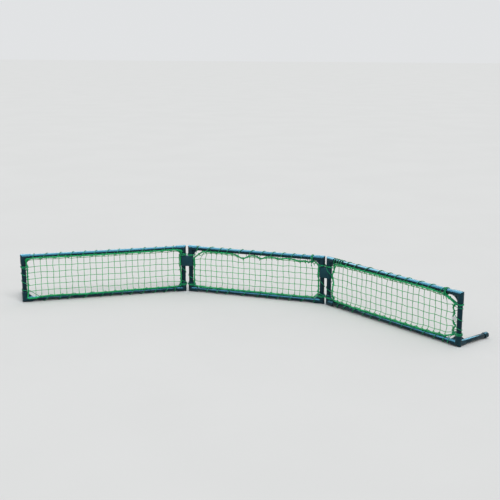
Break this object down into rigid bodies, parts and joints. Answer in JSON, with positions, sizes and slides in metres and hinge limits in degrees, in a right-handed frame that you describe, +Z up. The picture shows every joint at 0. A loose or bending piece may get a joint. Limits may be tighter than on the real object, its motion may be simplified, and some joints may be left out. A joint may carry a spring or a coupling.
{
  "type": "pitching target net",
  "caption": "Low folding net fence for the ground: three coated-pipe frames with laced square-mesh nets, joined by double-sleeve hinge blocks, with feet on the end frames.",
  "frame": {"origin": "on the ground, under the centre of the whole fence's box as it stands", "axes": "+X along the middle frame, to the right as seen from the open side of the arc; +Y to the back, away from the side that the end frames close in on; +Z up"},
  "size_m": [2.8912, 0.605, 0.3],
  "materials": {
    "pipe": "glossy dark blue-green plastic coat on thin steel pipe",
    "fitting": "moulded dark blue-green plastic, half gloss",
    "block": "moulded dark blue-green plastic, dull",
    "net": "green knotted polyethylene twine",
    "rope": "green laid polyethylene rope",
    "cord": "thin green twisted cord",
    "label": "plain white woven label"
  },
  "bodies": {
    "middle_frame": {"middle_top_rail": "pipe", "middle_bottom_rail": "pipe", "middle_left_post": "pipe", "middle_right_post": "pipe", "middle_top_left_fitting": "fitting", "middle_top_right_fitting": "fitting", "middle_bottom_left_fitting": "fitting", "middle_bottom_right_fitting": "fitting", "middle_net": "net", "middle_border_rope": "rope", "middle_lacing": "cord"},
    "left_block": {"left_hinge_block": "block"},
    "left_frame": {"left_top_rail": "pipe", "left_bottom_rail": "pipe", "left_left_post": "pipe", "left_right_post": "pipe", "left_top_left_fitting": "fitting", "left_top_right_fitting": "fitting", "left_bottom_left_fitting": "fitting", "left_bottom_right_fitting": "fitting", "left_net": "net", "left_border_rope": "rope", "left_lacing": "cord", "left_foot_pipe": "pipe", "left_foot_cap": "fitting"},
    "right_block": {"right_hinge_block": "block"},
    "right_frame": {"right_top_rail": "pipe", "right_bottom_rail": "pipe", "right_left_post": "pipe", "right_right_post": "pipe", "right_top_left_fitting": "fitting", "right_top_right_fitting": "fitting", "right_bottom_left_fitting": "fitting", "right_bottom_right_fitting": "fitting", "right_net": "net", "right_border_rope": "rope", "right_lacing": "cord", "right_label": "label", "right_foot_pipe": "pipe", "right_foot_cap": "fitting"}
  },
  "joints": [
    {"name": "left_block_turn", "type": "hinge", "parent": "middle_frame", "child": "left_block", "pos_m": [-0.43758, 0.28321, 0.199], "axis": [0, 0, 1], "range_deg": [-22.1, 67.9]},
    {"name": "left_frame_turn", "type": "hinge", "parent": "left_block", "child": "left_frame", "pos_m": [-0.48345, 0.26909, 0.199], "axis": [0, 0, 1], "range_deg": [-22.1, 67.9]},
    {"name": "right_block_turn", "type": "hinge", "parent": "middle_frame", "child": "right_block", "pos_m": [0.42342, 0.28321, 0.199], "axis": [0, 0, -1], "range_deg": [-98.45, 12.05]},
    {"name": "right_frame_turn", "type": "hinge", "parent": "right_block", "child": "right_frame", "pos_m": [0.46958, 0.27002, 0.199], "axis": [0, 0, -1], "range_deg": [-98.45, 12.05]}
  ]
}
